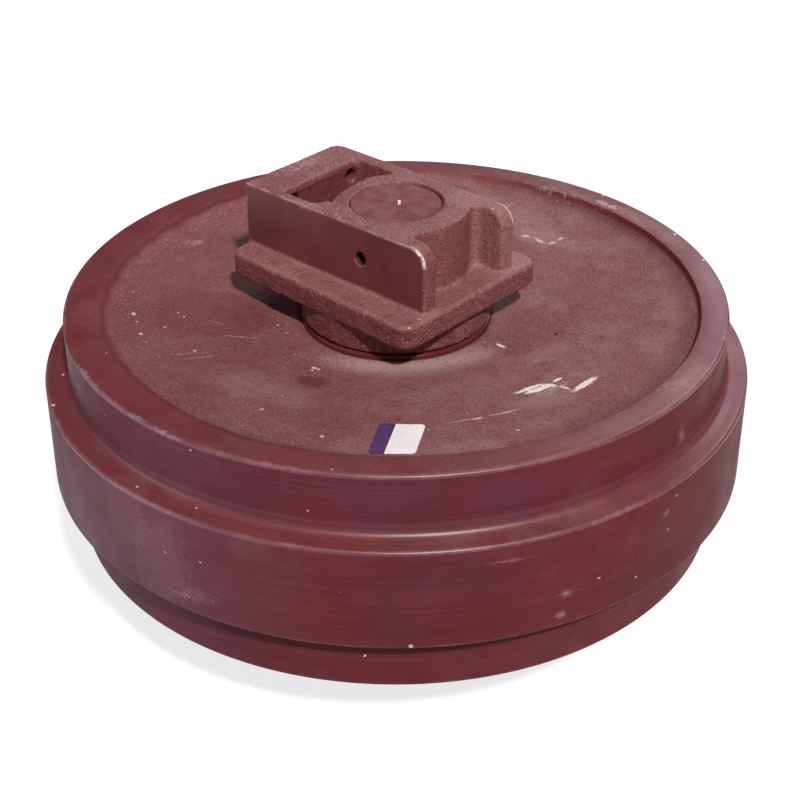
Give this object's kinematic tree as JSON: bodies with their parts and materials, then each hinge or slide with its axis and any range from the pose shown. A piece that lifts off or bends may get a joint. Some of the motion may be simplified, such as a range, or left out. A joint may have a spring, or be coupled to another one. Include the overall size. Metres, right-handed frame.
{
  "type": "excavator front idler",
  "caption": "Hollow track guide wheel with a central flange, turning on a fixed shaft between two cast guide brackets.",
  "frame": {"origin": "centre of the wheel, on the shaft's axis and on the mid-plane of the guide flange, which is also the centre of the whole part's box", "axes": "+Z along the shaft's axis, towards the upper guide bracket; +X along the brackets' long side, away from the yoke pads; +Y across the guides"},
  "size_m": [0.587, 0.587, 0.3552],
  "materials": {
    "red_paint": "thin oxide-red paint over machined and cast steel, half dull",
    "cast_paint": "thin oxide-red paint over a rough casting, dull",
    "shaft_steel": "ground steel, painted over where its end shows",
    "dark_steel": "oiled steel",
    "bronze": "sintered bronze lining",
    "seal_iron": "lapped hard iron",
    "rubber": "matt nitrile rubber"
  },
  "bodies": {
    "fixed_frame": {"shaft": "shaft_steel", "bracket_upper": "cast_paint", "bracket_lower": "cast_paint", "lock_pin_upper": "dark_steel", "lock_pin_lower": "dark_steel", "seal_ring_fixed_upper": "seal_iron", "seal_ring_fixed_lower": "seal_iron", "toric_ring_fixed_upper": "rubber", "toric_ring_fixed_lower": "rubber", "shaft_o_ring_upper": "rubber", "shaft_o_ring_lower": "rubber", "oil_plug": "dark_steel", "plug_o_ring": "rubber"},
    "wheel": {"wheel_half_upper": "red_paint", "wheel_half_lower": "red_paint", "hub_sleeve": "red_paint", "bush_upper": "bronze", "bush_lower": "bronze", "seal_ring_turning_upper": "seal_iron", "seal_ring_turning_lower": "seal_iron", "toric_ring_turning_upper": "rubber", "toric_ring_turning_lower": "rubber"}
  },
  "joints": [
    {"name": "wheel_spin", "type": "hinge", "parent": "fixed_frame", "child": "wheel", "pos_m": [0, 0, 0], "axis": [0, 0, 1], "continuous": true}
  ]
}
